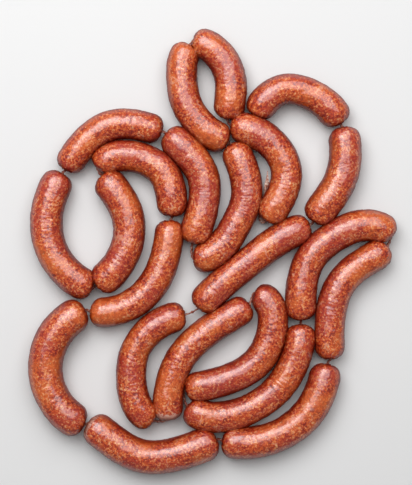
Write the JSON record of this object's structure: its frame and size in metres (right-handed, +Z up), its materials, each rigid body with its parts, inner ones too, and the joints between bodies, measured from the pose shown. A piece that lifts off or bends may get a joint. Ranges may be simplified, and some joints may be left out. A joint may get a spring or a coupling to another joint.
{
  "type": "string of sausage links",
  "caption": "Raw sausage links in natural casing, hanging together in one string that lies flat in loose bends.",
  "frame": {"origin": "middle of the bounding box at the flat surface that the string rests on", "axes": "+Z up from the surface, +Y along the longer side of the laid string, +X along its shorter side"},
  "size_m": [0.4016, 0.4854, 0.0353],
  "materials": {
    "meat_in_casing": "moist, softly glossy",
    "twisted_casing": "moist, satin"
  },
  "bodies": {
    "root": {"link_01": "meat_in_casing", "link_02": "meat_in_casing", "link_03": "meat_in_casing", "link_04": "meat_in_casing", "link_05": "meat_in_casing", "link_06": "meat_in_casing", "link_07": "meat_in_casing", "link_08": "meat_in_casing", "link_09": "meat_in_casing", "link_10": "meat_in_casing", "link_11": "meat_in_casing", "link_12": "meat_in_casing", "link_13": "meat_in_casing", "link_14": "meat_in_casing", "link_15": "meat_in_casing", "link_16": "meat_in_casing", "link_17": "meat_in_casing", "link_18": "meat_in_casing", "link_19": "meat_in_casing", "link_20": "meat_in_casing", "link_21": "meat_in_casing", "link_22": "meat_in_casing", "twist_01": "twisted_casing", "twist_02": "twisted_casing", "twist_03": "twisted_casing", "twist_04": "twisted_casing", "twist_05": "twisted_casing", "twist_06": "twisted_casing", "twist_07": "twisted_casing", "twist_08": "twisted_casing", "twist_09": "twisted_casing", "twist_10": "twisted_casing", "twist_11": "twisted_casing", "twist_12": "twisted_casing", "twist_13": "twisted_casing", "twist_14": "twisted_casing", "twist_15": "twisted_casing", "twist_16": "twisted_casing", "twist_17": "twisted_casing", "twist_18": "twisted_casing", "twist_19": "twisted_casing", "twist_20": "twisted_casing", "twist_21": "twisted_casing", "casing_tail": "twisted_casing"}
  },
  "joints": []
}
